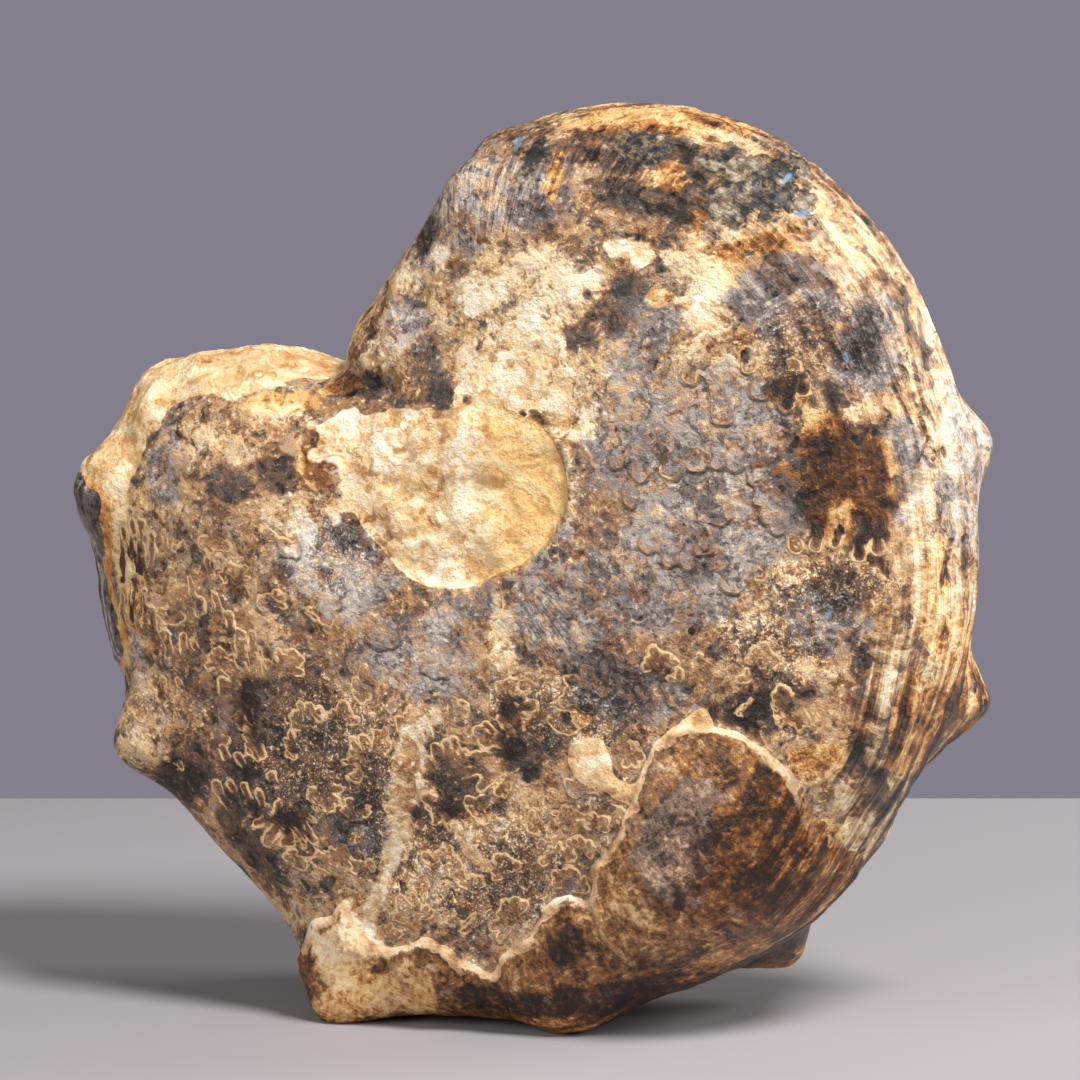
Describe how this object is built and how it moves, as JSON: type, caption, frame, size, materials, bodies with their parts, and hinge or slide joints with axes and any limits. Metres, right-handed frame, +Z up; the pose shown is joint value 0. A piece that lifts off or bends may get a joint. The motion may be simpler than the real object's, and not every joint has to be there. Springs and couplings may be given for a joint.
{
  "type": "ammonite fossil",
  "caption": "Coiled ammonite fossil standing on its rim, with filled umbilicus, blunt shoulder tubercles, florid sutures and patches of glossy shell.",
  "frame": {"origin": "on the ground plane, under the middle of the fossil's box", "axes": "+Z up; the coiling axis lies along Y, with the better preserved flank facing -Y; +X to the right of that flank, with the broken end of the whorl on the -X side"},
  "size_m": [0.1554, 0.057, 0.1562],
  "materials": {
    "fossil_stone": "natural, satin to polished, cream and brown with dark patches"
  },
  "bodies": {
    "root": {"ammonite": "fossil_stone"}
  },
  "joints": []
}
